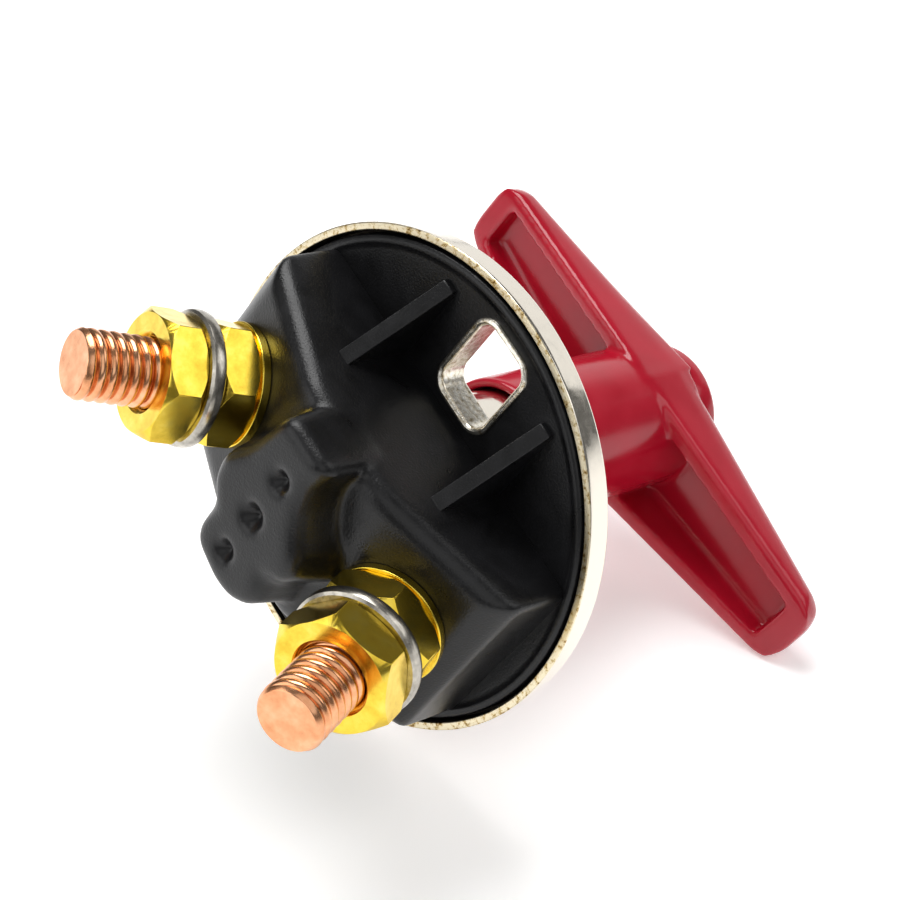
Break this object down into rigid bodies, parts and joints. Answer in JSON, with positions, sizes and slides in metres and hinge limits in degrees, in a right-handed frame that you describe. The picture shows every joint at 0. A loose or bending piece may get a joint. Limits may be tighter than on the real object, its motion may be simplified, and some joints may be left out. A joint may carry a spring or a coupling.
{
  "type": "battery master switch",
  "caption": "Battery master switch with a round plated face plate, a red T-handle that turns on a long neck, and a black rear housing with leaning threaded copper studs, brass nuts and washers.",
  "frame": {"origin": "centre of the face plate's rear rim, on the spindle axis", "axes": "-Y out of the front of the panel towards the handle and +Y back along the studs; X from stud to stud; +Z through the upper mounting hole"},
  "size_m": [0.084, 0.0991, 0.0698],
  "materials": {
    "plated_zinc": "bright nickel and chrome plating on a zinc casting",
    "black_moulding": "satin thermoset moulding with a fine grain",
    "red_plastic": "glossy moulded plastic",
    "copper": "plain copper, rolled thread",
    "brass": "machined brass, lightly tarnished",
    "dull_steel": "plain spring steel",
    "plain_steel": "zinc plated steel",
    "gasket_rubber": "moulded rubber",
    "white_nylon": "moulded nylon"
  },
  "bodies": {
    "switch_body": {"face_plate": "plated_zinc", "plate_gasket": "gasket_rubber", "rear_housing": "black_moulding", "return_spring": "plain_steel", "spring_seat": "plain_steel", "left_terminal_stud": "copper", "left_stud_seal": "gasket_rubber", "left_seat_washer": "brass", "left_seat_nut": "brass", "left_lock_washer": "dull_steel", "left_terminal_nut": "brass", "right_terminal_stud": "copper", "right_stud_seal": "gasket_rubber", "right_seat_washer": "brass", "right_seat_nut": "brass", "right_lock_washer": "dull_steel", "right_terminal_nut": "brass"},
    "handle_assembly": {"handle": "red_plastic", "handle_screw": "plain_steel", "handle_screw_washer": "plain_steel", "handle_cap": "red_plastic", "spindle": "plain_steel", "spindle_o_rings": "gasket_rubber", "thrust_washer": "white_nylon", "retaining_washer": "plain_steel", "retaining_clip": "plain_steel", "drive_cam": "white_nylon"},
    "contact_assembly": {"contact_carrier": "white_nylon", "contact_bar": "copper", "contact_rivets": "brass"}
  },
  "joints": [
    {"name": "handle_turn", "type": "hinge", "parent": "switch_body", "child": "handle_assembly", "pos_m": [0, 0, 0], "axis": [0, -1, 0], "range_deg": [0, 90]},
    {"name": "contact_travel", "type": "slide", "parent": "switch_body", "child": "contact_assembly", "axis": [0, -1, 0], "range_m": [0, 0.0025]}
  ],
  "couplings": [
    {"joint": "contact_travel", "follows": "handle_turn", "m_per_rad": 0.00159}
  ]
}
